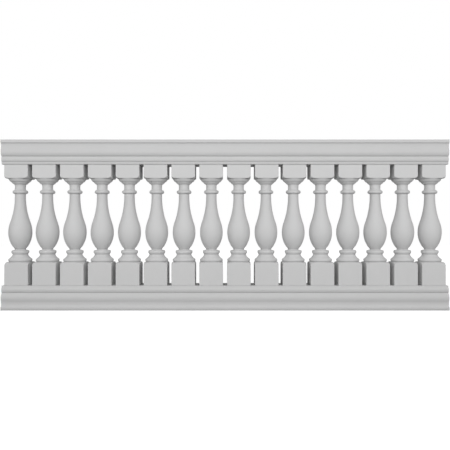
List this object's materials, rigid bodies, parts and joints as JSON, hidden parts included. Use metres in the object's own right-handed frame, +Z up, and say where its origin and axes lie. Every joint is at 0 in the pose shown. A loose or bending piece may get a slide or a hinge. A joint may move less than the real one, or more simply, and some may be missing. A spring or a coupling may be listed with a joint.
{
  "type": "balustrade",
  "caption": "Straight balustrade: turned vase-shaped balusters with square plinths and caps, standing between a moulded base rail and a matching coping rail.",
  "frame": {"origin": "on the underside of the bottom rail, under the middle of the run", "axes": "+X along the rails, +Y across them to the back, +Z up; the picture looks along +Y"},
  "size_m": [2.4, 0.173, 0.914],
  "materials": {
    "rail_stone": "smooth matt cast stone, light neutral grey",
    "baluster_stone": "smooth matt cast stone, light neutral grey"
  },
  "bodies": {
    "root": {"bottom_rail": "rail_stone", "top_rail": "rail_stone", "baluster_01": "baluster_stone", "baluster_02": "baluster_stone", "baluster_03": "baluster_stone", "baluster_04": "baluster_stone", "baluster_05": "baluster_stone", "baluster_06": "baluster_stone", "baluster_07": "baluster_stone", "baluster_08": "baluster_stone", "baluster_09": "baluster_stone", "baluster_10": "baluster_stone", "baluster_11": "baluster_stone", "baluster_12": "baluster_stone", "baluster_13": "baluster_stone", "baluster_14": "baluster_stone", "baluster_15": "baluster_stone", "baluster_16": "baluster_stone"}
  },
  "joints": []
}
